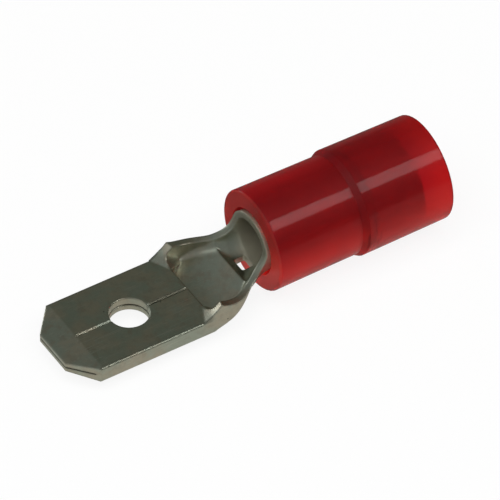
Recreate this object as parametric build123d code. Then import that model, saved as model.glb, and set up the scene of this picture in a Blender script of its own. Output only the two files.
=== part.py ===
from build123d import *
import math
import os

# A male spade terminal for a crimped wire. One plated sheet is folded double into the tab and
# rolled into the wire barrel. A moulded sleeve covers the barrel, and a thin ferrule behind the
# barrel grips the wire's insulation. While it is built, X runs from the tab's tip to the wire's
# end, Y across the tab and Z up, with the barrel's axis on X.

# Sheet
sheet = 0.36  # thickness of the sheet
layer_gap = 0.08  # left between the two layers of the tab
fold_wall = 0.2  # sheet outside that gap where it is folded, thinned by pressing
seam_gap = 0.03  # left where two edges of the sheet meet
lip_width = 0.05  # rounded edges of the tab's seam, as a chamfer
lip_depth = 0.03
edge_radius = 0.1  # outside corners of the pressed tab
bend_radius = 0.12  # inside corners of the open neck

# Tab
tab_width = 4.8
tab_length = 7.0  # tip to the rear edges of the upper layer
corner_length = 1.1  # cut corners of the tip, along the tab
corner_inset = 1.3  # the same corners, across the tab
bevel_length = 1.2  # thinned tip, along the tab
bevel_drop = 0.18  # thinning of the tip on each face
hole_radius = 0.93
hole_station = 3.97  # tip to the centre of the detent hole
hole_relief = 0.1  # widening that the punch leaves on the underside

# Neck between the tab and the barrel
barrel_lift = 0.46  # barrel's underside above the tab's underside
wall_rise = 0.68  # front corners of the side walls above the tab's upper face
wall_dip = 0.26  # lowest point of the walls' edges below those corners
wall_lead = 0.55  # foot of the side walls ahead of the upper layer's rear edges
ramp_length = 0.9  # front ends of the walls, which rise in a hollow curve
ramp_angle = 28  # slope at the foot of that curve
ramp_skew = 0.5  # a ramp lies further back by this share of the distance in from the tab's side
fold_reach = 1.05  # folded sheet that runs over into each wall, in from the tab's side
fold_fade = 0.95  # length behind the upper layer over which that sheet stands up
scoop_length = 1.9  # from the lowest point of the walls to the barrel's mouth
scoop_height = 1.28  # rise of the walls' edges along the mouth's rounded sides
shoulder_length = 1.0  # full width kept behind the upper layer
rise_length = 2.3  # floor climbing behind the upper layer
closing_length = 1.1  # from the floor's crest to the round barrel
stop_height = 0.12  # crest of the floor above the barrel's floor, a stop for the wire
stop_length = 0.3  # from the crest back down to the level of the barrel's floor
window_length = 0.6  # sight window in the floor, where the wire's end shows
window_width = 0.8
window_corner = 0.1
window_lead = 0.04  # window's rear edge ahead of the barrel's mouth
outer_growth = 1.0  # power by which the neck's outer corners round towards the barrel
inner_growth = 1.8  # the same for its inner corners
neck_steps = 4  # sections along each stretch of the neck
flat_angle = 3  # half of the barrel's arc that a flat of the neck runs into

# Wire barrel
barrel_bore = 1.13  # inside radius
barrel_length = 4.8
mouth_depth = 0.1  # barrel's front edge ahead of where the neck is round
barrel_chamfer = 0.12  # inside its rear edge

# Ferrule
insulation_allowance = 0.72  # ferrule's bore over the barrel's bore, in radius
ferrule_wall = 0.2
ferrule_length = 2.55
ferrule_flare = 0.08  # rounding inside its rear edge, as a chamfer

# Sleeve
sleeve_clearance = 0.02  # between the sleeve and the metal in it
front_wall = 0.94
rear_wall = 0.5
mouth_lead = 0.13  # widening of the bore at the front face, in radius
lead_length = 0.35
collar_length = 0.5  # funnel between the ferrule and the barrel
entry_length = 1.3  # ferrule's end to the sleeve's end
entry_flare = 0.16  # widening of the wire's entry, in radius
step_lead = 0.42  # foot of the step ahead of the barrel's rear edge
step_length = 0.3
draft = 0.045  # radius that each part of the sleeve loses along its length
front_round = 0.14
rear_round = 0.08

# Sizes that follow
tab_thickness = 2 * sheet + layer_gap
neck_length = rise_length + closing_length
barrel_radius = barrel_bore + sheet
tab_floor = -barrel_radius - barrel_lift
tab_top = tab_floor + tab_thickness
wall_start = tab_length - wall_lead
barrel_start = tab_length + neck_length
barrel_end = barrel_start + barrel_length
mouth_station = barrel_start - mouth_depth
collar_end = barrel_end + collar_length
ferrule_bore = barrel_bore + insulation_allowance
ferrule_radius = ferrule_bore + ferrule_wall
ferrule_end = collar_end + ferrule_length
sleeve_end = ferrule_end + entry_length
front_radius = barrel_radius + sleeve_clearance + front_wall
rear_radius = ferrule_radius + sleeve_clearance + rear_wall
resting_radius = max(front_radius, rear_radius)


def mix(start, end, share):
    return start + (end - start) * share


def cross_plane(station):
    return Plane(origin=(station, 0, 0), x_dir=(0, 1, 0), z_dir=(1, 0, 0))


def folded_tab():
    middle = (tab_floor + tab_top) / 2
    outside = Pos(0, middle) * RectangleRounded(tab_width, tab_thickness, edge_radius)
    between = Pos(0, middle) * SlotOverall(tab_width - 2 * fold_wall, layer_gap)
    tab = extrude(cross_plane(0) * (outside - between), amount=tab_length)
    tab -= tab_seam(middle)
    tab &= extrude(tab_plan(), amount=tab_thickness)
    tab &= extrude(tab_profile(), amount=tab_width / 2, both=True)
    hole = Cylinder(hole_radius, 2 * tab_thickness)
    relief = Pos(0, 0, tab_floor - middle) * Cone(
        hole_radius + hole_relief, hole_radius, hole_relief,
        align=(Align.CENTER, Align.CENTER, Align.MIN),
    )
    return tab - Pos(hole_station, 0, middle) * (hole + relief)


def tab_seam(middle):
    # The thinned tip is pressed shut, so the seam starts behind it
    slit = seam_gap / 2
    lip = slit + lip_width
    outline = Polygon(
        (-slit, middle), (slit, middle), (slit, tab_top - lip_depth), (lip, tab_top),
        (-lip, tab_top), (-slit, tab_top - lip_depth), align=None,
    )
    return extrude(cross_plane(bevel_length) * outline, amount=tab_length - bevel_length)


def tab_plan():
    side = tab_width / 2
    tip = side - corner_inset
    return Pos(0, 0, tab_floor) * Polygon(
        (0, -tip), (corner_length, -side), (tab_length, -side),
        (tab_length, side), (corner_length, side), (0, tip), align=None,
    )


def tab_profile():
    return Plane.XZ * Polygon(
        (0, tab_floor + bevel_drop), (bevel_length, tab_floor), (tab_length, tab_floor),
        (tab_length, tab_top), (bevel_length, tab_top), (0, tab_top - bevel_drop), align=None,
    )


def neck_section(station, inset, first_corner, growth):
    # Rounded box that narrows, climbs and rounds until it is the barrel's circle
    behind = station - tab_length
    narrowing = max(behind - shoulder_length, 0) / (neck_length - shoulder_length)
    climb = min(behind / rise_length, 1)
    fall = min(max(behind - rise_length, 0) / stop_length, 1)
    side = mix(tab_width / 2, barrel_radius, narrowing ** 2 * (3 - 2 * narrowing)) - inset
    corner = mix(first_corner, barrel_radius - inset, (behind / neck_length) ** growth)
    crest = mix(tab_floor, stop_height - barrel_radius, climb ** 2)
    floor = mix(crest, -barrel_radius, fall) + inset
    top = barrel_radius - inset
    outline = Pos(0, (top + floor) / 2) * RectangleRounded(2 * side, top - floor, corner)
    return cross_plane(station) * outline


def barrel_section(radius):
    # Circle in eight arcs, one for each side and each corner of the neck's sections
    arcs = []
    for quarter in range(4):
        arcs.append(CenterArc((0, 0), radius, 90 * quarter - flat_angle, 2 * flat_angle))
        arcs.append(CenterArc((0, 0), radius, 90 * quarter + flat_angle, 90 - 2 * flat_angle))
    return cross_plane(barrel_start) * make_face(arcs)


def neck_body(inset, first_corner, growth):
    # Stretch beside the upper layer, stretch that climbs to the crest, closing stretch, barrel
    crest = tab_length + rise_length
    climbing = []
    closing = []
    for step in range(neck_steps):
        share = step / neck_steps
        here = mix(tab_length, crest, share)
        climbing.append(neck_section(here, inset, first_corner, growth))
        here = mix(crest, barrel_start, share)
        closing.append(neck_section(here, inset, first_corner, growth))
    circle = barrel_section(barrel_radius - inset)
    beside = extrude(climbing[0], amount=wall_start - tab_length)
    barrel = extrude(circle, amount=barrel_length)
    return beside + loft(climbing + closing[:1]) + loft(closing + [circle]) + barrel


def neck_profile():
    # What is kept of the rolled sheet, seen from the side: low walls, then the barrel's mouth
    corner = (wall_start + ramp_length, tab_top + wall_rise)
    lowest = (mouth_station - scoop_length, tab_top + wall_rise - wall_dip)
    scoop_top = lowest[1] + scoop_height
    front = TangentArc(lowest, corner, tangent=(-1, 0))
    scoop = EllipticalCenterArc((lowest[0], scoop_top), scoop_length, scoop_height, 270, arc_size=90)
    rest = Polyline(
        corner, (wall_start, corner[1]), (wall_start, tab_floor), (barrel_end, tab_floor),
        (barrel_end, barrel_radius), (mouth_station, barrel_radius), (mouth_station, scoop_top),
    )
    return Plane.XZ * make_face(front + rest + scoop)


def fold_section(station, share):
    # Sheet that fills the corner between floor and wall: share 0 beside the tab, 1 where it ends
    inner_side = tab_width / 2 - sheet
    foot = mix(tab_width / 2 - fold_reach, inner_side - bend_radius, share)
    level = mix(tab_top, tab_floor + sheet, share)
    root = tab_floor + sheet / 2
    outside = inner_side + sheet / 2
    top = level + inner_side - foot
    hollow = TangentArc((foot, level), (inner_side, top), tangent=(1, 0))
    rest = Polyline((inner_side, top), (outside, top), (outside, root), (foot, root), (foot, level))
    return cross_plane(station) * make_face(hollow + rest)


def running_fold():
    # Folded sheet of the tab that runs over into the wall on the +Y side
    flat = fold_section(tab_length, 0)
    rising = loft([flat, fold_section(tab_length + fold_fade, 1)])
    return extrude(flat, amount=wall_start - tab_length) + rising


def ramp_cut():
    # What is cut away above the hollow front end of the wall on the +Y side
    side = tab_width / 2
    foot = (wall_start + ramp_skew * side, tab_top)
    corner = (foot[0] + ramp_length, tab_top + wall_rise)
    slope = math.radians(ramp_angle)
    ramp = TangentArc(foot, corner, tangent=(math.cos(slope), math.sin(slope)))
    rest = Polyline(
        corner, (corner[0], barrel_radius), (wall_start - sheet, barrel_radius),
        (wall_start - sheet, tab_top), foot,
    )
    face = Plane.XZ * make_face(ramp + rest)
    return extrude(face, amount=tab_width, dir=(-ramp_skew, 1, 0))


def rolled_neck():
    tube = neck_body(0, edge_radius, outer_growth)
    tube -= neck_body(sheet, bend_radius, inner_growth)
    tube &= extrude(neck_profile(), amount=tab_width, both=True)
    wall_end = running_fold()
    cut = ramp_cut()
    tube += wall_end + mirror(wall_end, Plane.XZ)
    tube -= cut + mirror(cut, Plane.XZ)
    seam = Pos(mouth_station, 0, 0) * Box(
        barrel_end - mouth_station, seam_gap, barrel_radius,
        align=(Align.MIN, Align.CENTER, Align.MIN),
    )
    bell = cross_plane(barrel_end - barrel_chamfer) * Cone(
        barrel_bore, barrel_bore + barrel_chamfer, barrel_chamfer,
        align=(Align.CENTER, Align.CENTER, Align.MIN),
    )
    return tube - seam - bell - sight_window()


def sight_window():
    middle = mouth_station - window_lead - window_length / 2
    outline = RectangleRounded(window_length, window_width, window_corner)
    return Pos(middle, 0, tab_floor) * extrude(outline, amount=barrel_radius)


def folded_terminal():
    return folded_tab() + rolled_neck()


def insulating_sleeve():
    front = barrel_start
    step = barrel_end - step_lead
    bore = barrel_radius + sleeve_clearance
    seat = ferrule_radius + sleeve_clearance
    outline = Polyline(
        (front, bore + mouth_lead), (front, front_radius), (step, front_radius - draft),
        (step + step_length, rear_radius), (sleeve_end, rear_radius - draft),
        (sleeve_end, seat + entry_flare), (ferrule_end, seat), (collar_end, seat),
        (collar_end, ferrule_bore), (barrel_end, barrel_bore + barrel_chamfer), (barrel_end, bore),
        (front + lead_length, bore), close=True,
    )
    face = make_face(outline)
    face = fillet(face.vertices().group_by(Axis.X)[0].sort_by(Axis.Y)[-1], front_round)
    rim = rear_wall - draft - entry_flare
    face = fillet(face.vertices().group_by(Axis.X)[-1], min(rear_round, rim / 3))
    return revolve(Plane.XZ * face, Axis.X)


def grip_ferrule():
    outline = Polyline(
        (collar_end, ferrule_bore), (collar_end, ferrule_radius), (ferrule_end, ferrule_radius),
        (ferrule_end, ferrule_bore + ferrule_flare), (ferrule_end - ferrule_flare, ferrule_bore),
        close=True,
    )
    return revolve(Plane.XZ * make_face(outline), Axis.X)


def placed(piece):
    # Rests on the sleeve, with the origin under the middle of the whole terminal
    return Pos(-sleeve_end / 2, 0, resting_radius) * piece


os.makedirs("parts", exist_ok=True)
export_step(placed(folded_terminal()), "parts/folded_terminal.step")
export_step(placed(insulating_sleeve()), "parts/insulating_sleeve.step")
export_step(placed(grip_ferrule()), "parts/grip_ferrule.step")
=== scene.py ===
import math

import bpy
from mathutils import Matrix, Vector

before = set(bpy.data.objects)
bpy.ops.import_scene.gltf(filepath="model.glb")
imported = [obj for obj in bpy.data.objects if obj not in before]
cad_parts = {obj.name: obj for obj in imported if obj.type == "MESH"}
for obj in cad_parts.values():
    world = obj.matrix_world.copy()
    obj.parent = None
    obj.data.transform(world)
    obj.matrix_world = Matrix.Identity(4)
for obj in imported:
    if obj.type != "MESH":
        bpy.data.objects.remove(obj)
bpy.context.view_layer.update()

# A male spade terminal: a tin plated folded tab and barrel, a red moulded sleeve over the barrel,
# and a thin ferrule inside the sleeve's rear part. Lengths are written in millimetres and scaled.

MM = 0.001
WHITE = (1, 1, 1, 1)

# Places on the part, in millimetres. In each pair a change starts at the first place and is
# complete at the second.
BARREL_AXIS = 2.57  # height
SEAM_SQUARE = (0.014, 0.003)  # square of the distance from the tab's middle
# Where the painted shade along the seam starts
SEAM_SHADE_FROM = (-4.9, -4.6)  # the seam behind the hole, along the part
TAB_REAR = (-2.8, -3.0)
UPPER_LAYER = (1.1, 1.3)  # height
EDGE_SQUARE = (5.1, 5.4)  # square of the distance from the tab's middle
EDGE_HEIGHT = (1.34, 1.4)
BARREL_INSIDE = (0.0, 0.9)
LIP_BORE = (1.14, 1.18)  # radius of the barrel's mouth
LIP_MIDDLE = (1.43, 1.33)
LIP_FRONT = (-0.3, 0.4)
SLEEVE_FACE = (0.74, 0.65)
STEP_FOOT = (4.9, 5.02)
STEP_HEAD = (5.42, 5.28)
MARKS_FROM = (5.1, 5.3)
MARKS_TO = (6.1, 5.6)
WIRE_ENTRY = (8.0, 9.6)
LOWER_SIDE = (4.1, 2.0)  # height

# Tin
TIN_GREENISH = (0.51, 0.56, 0.465, 1)
TIN_WARM = (0.60, 0.56, 0.44, 1)
TIN_STAIN = (0.50, 0.45, 0.35, 1)
TIN_CLEAN = (0.57, 0.61, 0.52, 1)
TIN_HAZE = (0.46, 0.465, 0.38, 1)
TIN_SCRATCH = (0.74, 0.73, 0.64, 1)
# Dark tin of the specks, also painted shade on the folded edges and along the seam
TIN_SPECK_AND_SHADE = (0.16, 0.16, 0.12, 1)
# Painted shade inside the barrel
TIN_INSIDE_SHADE = (0.38, 0.36, 0.27, 1)
# Painted shade on the inner rim of the barrel's mouth
TIN_LIP_SHADE = (0.13, 0.12, 0.09, 1)
STAIN_TURN = 1.1
TERMINAL_EDGE = 0.12  # radius that rounds the edges in the shading
FERRULE_EDGE = 0.02

# Plastic
RED_DEEP = (0.47, 0.002, 0.010, 1)
RED_CLOUD = (0.66, 0.004, 0.014, 1)
# Painted light: brighter red low down, at the wire entry and on the front face
RED_LOWER_LIGHT = (1.0, 0.028, 0.022, 1)
RED_ENTRY_LIGHT = (1.0, 0.014, 0.012, 1)
RED_FACE_LIGHT = (1.0, 0.14, 0.11, 1)
# Painted shade on the step's taper, and the darker marks behind the step
RED_STEP_SHADE_AND_MARKS = (0.20, 0.001, 0.003, 1)

# Camera
AZIMUTH = -31.889
ELEVATION = 44.288
AIM = Vector((0.605, 0.117, 1.928)) * MM
DISTANCE = 350 * MM
PICTURE_WIDTH = 22.388 * MM

# Light
ROOM_DARK = (0.085, 0.092, 0.076, 1)
ROOM_PALE = (0.21, 0.215, 0.21, 1)
FLOOR_WIDTH = 3.0
FLOOR_WHITE = 0.9
FLOOR_SEEN = 0.88
FLOOR_MIRRORED = 0.95
MIRRORED_FRONT = (0.44, 0.43, 0.40, 1)
MIRRORED_BACK = (0.11, 0.11, 0.10, 1)


class Socket:
    """One output of a shader node. Arithmetic on it adds Math nodes."""

    def __init__(self, finish, output):
        self.finish = finish
        self.output = output

    def math(self, operation, first, second=0.0):
        return self.finish.add("ShaderNodeMath", {"operation": operation}, {0: first, 1: second})

    def __add__(self, other):
        return self.math("ADD", self, other)

    __radd__ = __add__

    def __sub__(self, other):
        return self.math("SUBTRACT", self, other)

    def __rsub__(self, other):
        return self.math("SUBTRACT", other, self)

    def __mul__(self, other):
        return self.math("MULTIPLY", self, other)

    __rmul__ = __mul__

    def __pow__(self, other):
        return self.math("POWER", self, other)


class Finish:
    """A node material or world that is filled by one method."""

    def __init__(self, owner):
        owner.use_nodes = True
        self.owner = owner
        self.tree = owner.node_tree
        self.tree.nodes.clear()

    def add(self, kind, settings=None, values=None, output=0):
        node = self.tree.nodes.new(kind)
        for name, value in (settings or {}).items():
            setattr(node, name, value)
        for name, value in (values or {}).items():
            if isinstance(value, Socket):
                self.tree.links.new(value.output, node.inputs[name])
            else:
                node.inputs[name].default_value = value
        return Socket(self, node.outputs[output]) if node.outputs else node

    def place(self):
        return self.add("ShaderNodeTexCoord", output="Object")

    def along(self, axis):
        return self.add("ShaderNodeSeparateXYZ", {}, {0: self.place()}, axis)

    def stretched(self, scale, turn=(0.0, 0.0, 0.0)):
        return self.add("ShaderNodeMapping", {}, {"Vector": self.place(), "Scale": scale, "Rotation": turn})

    def noise(self, size, detail=3.0, rough=0.55, vector=None, output="Fac"):
        """Noise whose blotches are about size millimetres across."""
        values = {
            "Vector": vector or self.place(),
            "Scale": 1 / (size * MM),
            "Detail": detail,
            "Roughness": rough,
        }
        return self.add("ShaderNodeTexNoise", {}, values, output)

    def step(self, value, low, high):
        """0 below low, 1 above high, smooth between."""
        values = {"Value": value, "From Min": low, "From Max": high}
        return self.add("ShaderNodeMapRange", {"interpolation_type": "SMOOTHSTEP"}, values)

    def between(self, value, span):
        """0 before the span's first place, 1 past its second, smooth between."""
        return self.step(value, span[0] * MM, span[1] * MM)

    def mix(self, share, first, second):
        node = self.tree.nodes.new("ShaderNodeMix")
        node.data_type = "RGBA"
        for name, value in ((0, share), (6, first), (7, second)):
            if isinstance(value, Socket):
                self.tree.links.new(value.output, node.inputs[name])
            else:
                node.inputs[name].default_value = value
        return Socket(self, node.outputs[2])

    def bump(self, height, distance, normal=None):
        values = {"Height": height, "Distance": distance * MM}
        if normal:
            values["Normal"] = normal
        return self.add("ShaderNodeBump", {}, values)

    def surface(self, shader):
        of_world = isinstance(self.owner, bpy.types.World)
        self.add("ShaderNodeOutputWorld" if of_world else "ShaderNodeOutputMaterial", {}, {"Surface": shader})
        return self.owner


def scratches(finish, turn, length, width, share):
    """Fine straight lines along one direction of the tab's plane: 1 on a line, 0 beside it."""
    lines = finish.noise(width, 1.0, 0.4, finish.stretched((width / length, 1.0, 1.0), (0.0, 0.0, turn)))
    return finish.step(lines, 1 - share, 1.02 - share)


def pits(finish, spacing, radius):
    """Scattered specks: 1 in a speck, 0 outside."""
    cells = finish.add("ShaderNodeTexVoronoi", {}, {"Vector": finish.place(), "Scale": 1 / (spacing * MM)})
    return 1 - finish.step(cells, radius / spacing / 2, radius / spacing)


def seam_shade(finish):
    """Painted shade: 1 along the tab's seam behind the hole, where it is pressed tight."""
    length = finish.along("X")
    across = finish.along("Y")
    middle = finish.step(across * across, SEAM_SQUARE[0] * MM * MM, SEAM_SQUARE[1] * MM * MM)
    stretch = finish.between(length, SEAM_SHADE_FROM) * finish.between(length, TAB_REAR)
    return middle * stretch * finish.between(finish.along("Z"), UPPER_LAYER)


def folded_edge_shade(finish):
    """Painted shade: 1 on top of the rounded edges along the tab's folded sides."""
    across = finish.along("Y")
    side = finish.step(across * across, EDGE_SQUARE[0] * MM * MM, EDGE_SQUARE[1] * MM * MM)
    on_tab = finish.between(finish.along("X"), TAB_REAR)
    return side * finish.between(finish.along("Z"), EDGE_HEIGHT) * on_tab


def lip_shade(finish):
    """Painted shade: 1 on the inner part of the rim round the barrel's mouth."""
    across = finish.along("Y")
    up = finish.along("Z") - BARREL_AXIS * MM
    radius = (across * across + up * up) ** 0.5
    ring = finish.between(radius, LIP_BORE) * finish.between(radius, LIP_MIDDLE)
    return ring * finish.between(finish.along("X"), LIP_FRONT)


def tin_plate(name, rounding):
    """Dull tin with blotches, stains, fine scratches and specks, and painted shade inside the barrel, on its
    mouth's rim, along the seam and on the folded edges.
    """
    finish = Finish(bpy.data.materials.new(name))
    blotches = finish.noise(1.5)
    stains = finish.noise(0.7, 4.0, 0.65, finish.stretched((1.0, 1.0, 1.0), (0.0, 0.0, STAIN_TURN)))
    haze = finish.noise(0.3, 4.0)
    grain = finish.noise(0.03, 2.0)
    lines = scratches(finish, 0.5, 2.0, 0.045, 0.30) + scratches(finish, -0.9, 1.4, 0.04, 0.28)
    specks = pits(finish, 0.8, 0.05)
    # 1 inside the barrel, where painted shade darkens the tin, which is also less metallic there
    inside = finish.between(finish.along("X"), BARREL_INSIDE)
    tone = finish.mix(finish.step(blotches, 0.38, 0.62), TIN_GREENISH, TIN_WARM)
    tone = finish.mix(0.7 * finish.step(stains, 0.52, 0.68), tone, TIN_STAIN)
    tone = finish.mix(0.5 * finish.step(stains, 0.46, 0.34), tone, TIN_CLEAN)
    tone = finish.mix(0.5 * finish.step(haze, 0.45, 0.7), tone, TIN_HAZE)
    tone = finish.mix(0.45 * lines, tone, TIN_SCRATCH)
    tone = finish.mix(0.8 * specks, tone, TIN_SPECK_AND_SHADE)
    tone = finish.mix(inside, tone, TIN_INSIDE_SHADE)
    # Painted shade on the folded edges, along the seam and on the rim of the barrel's mouth
    tone = finish.mix(0.45 * folded_edge_shade(finish), tone, TIN_SPECK_AND_SHADE)
    tone = finish.mix(0.85 * seam_shade(finish), tone, TIN_SPECK_AND_SHADE)
    tone = finish.mix(0.3 * lip_shade(finish), tone, TIN_LIP_SHADE)
    edge = finish.add("ShaderNodeBevel", {"samples": 6}, {"Radius": rounding * MM})
    height = grain * 0.25 + haze * 0.9 + blotches * 2.0 - 0.3 * lines - 1.0 * specks
    shader = finish.add("ShaderNodeBsdfPrincipled", {}, {
        "Base Color": tone,
        "Metallic": 1.0 - 0.4 * inside,
        "Roughness": 0.24 + 0.14 * haze + 0.10 * blotches,
        "Normal": finish.bump(height, 0.004, edge),
    })
    return finish.surface(shader)


def red_moulding():
    """Frosted red plastic with marks behind the step; painted light makes it brighter low down, at the wire
    entry and on the front face, and painted shade darkens the step.
    """
    finish = Finish(bpy.data.materials.new("red_moulding"))
    length = finish.along("X")
    cloud = finish.noise(1.2)
    frost = finish.noise(0.09, 3.0)
    low = finish.between(finish.along("Z"), LOWER_SIDE)
    entry = finish.between(length, WIRE_ENTRY)
    face = finish.between(length, SLEEVE_FACE)
    taper = finish.between(length, STEP_FOOT) * finish.between(length, STEP_HEAD)
    behind = finish.between(length, MARKS_FROM) * finish.between(length, MARKS_TO)
    rings = finish.step(finish.noise(0.12, 1.0, 0.4, finish.stretched((1.0, 0.12, 0.12))), 0.56, 0.64)
    marks = rings * behind * low
    colour = finish.mix(cloud, RED_DEEP, RED_CLOUD)
    # Painted light low down, at the wire entry and on the front face
    colour = finish.mix(0.8 * low, colour, RED_LOWER_LIGHT)
    colour = finish.mix(0.45 * entry, colour, RED_ENTRY_LIGHT)
    colour = finish.mix(0.5 * face, colour, RED_FACE_LIGHT)
    # Painted shade on the step's taper, and darker marks behind the step
    colour = finish.mix(0.2 * taper + 0.4 * marks, colour, RED_STEP_SHADE_AND_MARKS)
    shader = finish.add("ShaderNodeBsdfPrincipled", {}, {
        "Base Color": colour,
        "Roughness": 0.42 + 0.2 * frost,
        "IOR": 1.22,
        "Specular IOR Level": 0.04,
        "Transmission Weight": 0.86,
        "Coat Weight": (0.16 + 0.54 * frost) * (1 - 0.8 * taper),
        "Coat IOR": 1.4,
        "Coat Roughness": 0.08,
        "Normal": finish.bump(finish.noise(0.5) - 2.0 * marks, 0.004),
    })
    return finish.surface(shader)


def room():
    """A dim room that is paler towards the tab's tip. The camera sees it as white."""
    finish = Finish(bpy.data.worlds.new("room"))
    seen = finish.add("ShaderNodeLightPath", output="Is Camera Ray")
    towards = finish.add("ShaderNodeTexCoord", output="Generated")
    across = finish.add("ShaderNodeSeparateXYZ", {}, {0: towards}, "X")
    grey = finish.mix(finish.step(0 - across, -0.45, 0.25), ROOM_DARK, ROOM_PALE)
    colour = finish.mix(seen, grey, WHITE)
    return finish.surface(finish.add("ShaderNodeBackground", {}, {"Color": colour}))


def floor_white():
    """White paper that keeps a soft shadow. In the metal it shows pale in front and grey behind.

    From below it is clear, so that the underside can be looked at."""
    finish = Finish(bpy.data.materials.new("floor_white"))
    seen = finish.add("ShaderNodeLightPath", output="Is Camera Ray")
    mirrored = finish.add("ShaderNodeLightPath", output="Is Glossy Ray")
    passed = finish.add("ShaderNodeLightPath", output="Is Transmission Ray")
    white = finish.add("ShaderNodeEmission", {}, {"Color": WHITE})
    behind = finish.step(finish.along("Y"), 1.5 * MM, 4 * MM)
    pale = finish.add("ShaderNodeEmission", {}, {"Color": finish.mix(behind, MIRRORED_FRONT, MIRRORED_BACK)})
    paper = finish.add("ShaderNodeBsdfDiffuse", {}, {"Color": (FLOOR_WHITE,) * 3 + (1,)})
    below = finish.add("ShaderNodeMixShader", {}, {0: (seen + passed) * FLOOR_SEEN, 1: paper, 2: white})
    sheet = finish.add("ShaderNodeMixShader", {}, {0: mirrored * FLOOR_MIRRORED, 1: below, 2: pale})
    under = finish.add("ShaderNodeNewGeometry", output="Backfacing")
    clear = finish.add("ShaderNodeBsdfTransparent", {}, {"Color": WHITE})
    return finish.surface(finish.add("ShaderNodeMixShader", {}, {0: seen * under, 1: sheet, 2: clear}))


def paper_floor():
    bpy.ops.mesh.primitive_plane_add(size=FLOOR_WIDTH)
    floor = bpy.context.object
    floor.name = "floor"
    floor.data.materials.append(floor_white())


def direction(azimuth, elevation):
    """Unit vector towards a camera or lamp at that azimuth and elevation, in degrees."""
    a = math.radians(azimuth)
    e = math.radians(elevation)
    return Vector((math.sin(a) * math.cos(e), -math.cos(a) * math.cos(e), math.sin(e)))


def aimed(thing, name, towards, distance, along=None):
    """Puts a camera or lamp where it looks at AIM, its width as near along that vector as can be."""
    item = bpy.data.objects.new(name, thing)
    bpy.context.scene.collection.objects.link(item)
    depth = towards.normalized()
    width = (along or Vector((0, 0, 1)).cross(depth)).normalized()
    height = depth.cross(width).normalized()
    width = height.cross(depth)
    turned = Matrix((width, height, depth)).transposed().to_4x4()
    item.matrix_world = Matrix.Translation(AIM + depth * distance) @ turned
    return item


def softbox(name, towards, distance, width, height, radiance, mirrored):
    lamp = bpy.data.lights.new(name, "AREA")
    lamp.shape = "RECTANGLE"
    lamp.size = width
    lamp.size_y = height
    lamp.energy = radiance * math.pi * width * height
    box = aimed(lamp, name, towards, distance, Vector((1, 0, 0)))
    box.visible_glossy = mirrored
    box.visible_camera = False
    return box


def camera():
    data = bpy.data.cameras.new("camera")
    data.lens = data.sensor_width * DISTANCE / PICTURE_WIDTH
    data.clip_start = DISTANCE / 10
    data.clip_end = DISTANCE * 20
    bpy.context.scene.camera = aimed(data, "camera", direction(AZIMUTH, ELEVATION), DISTANCE)


def studio():
    bpy.context.scene.world = room()
    paper_floor()
    softbox("overhead", Vector((-0.3, -0.3, 1.0)), 0.6, 0.6, 0.6, 3.3, False)
    softbox("stripe", Vector((0.378, -0.457, 0.805)), 0.3, 0.11, 0.108, 3.7, True)
    softbox("back", Vector((-0.29, 0.95, 0.075)), 0.3, 0.12, 0.04, 3.4, True)
    softbox("side", Vector((-0.85, 0.02, 0.50)), 0.3, 0.12, 0.12, 0.75, True)


def dress(node, material):
    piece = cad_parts[node]
    for slot in piece.material_slots:
        slot.material = material


camera()
studio()
dress("folded_terminal", tin_plate("tin_plate", TERMINAL_EDGE))
dress("grip_ferrule", tin_plate("tin_plate_ferrule", FERRULE_EDGE))
dress("insulating_sleeve", red_moulding())

bpy.context.scene.view_settings.view_transform = "Standard"
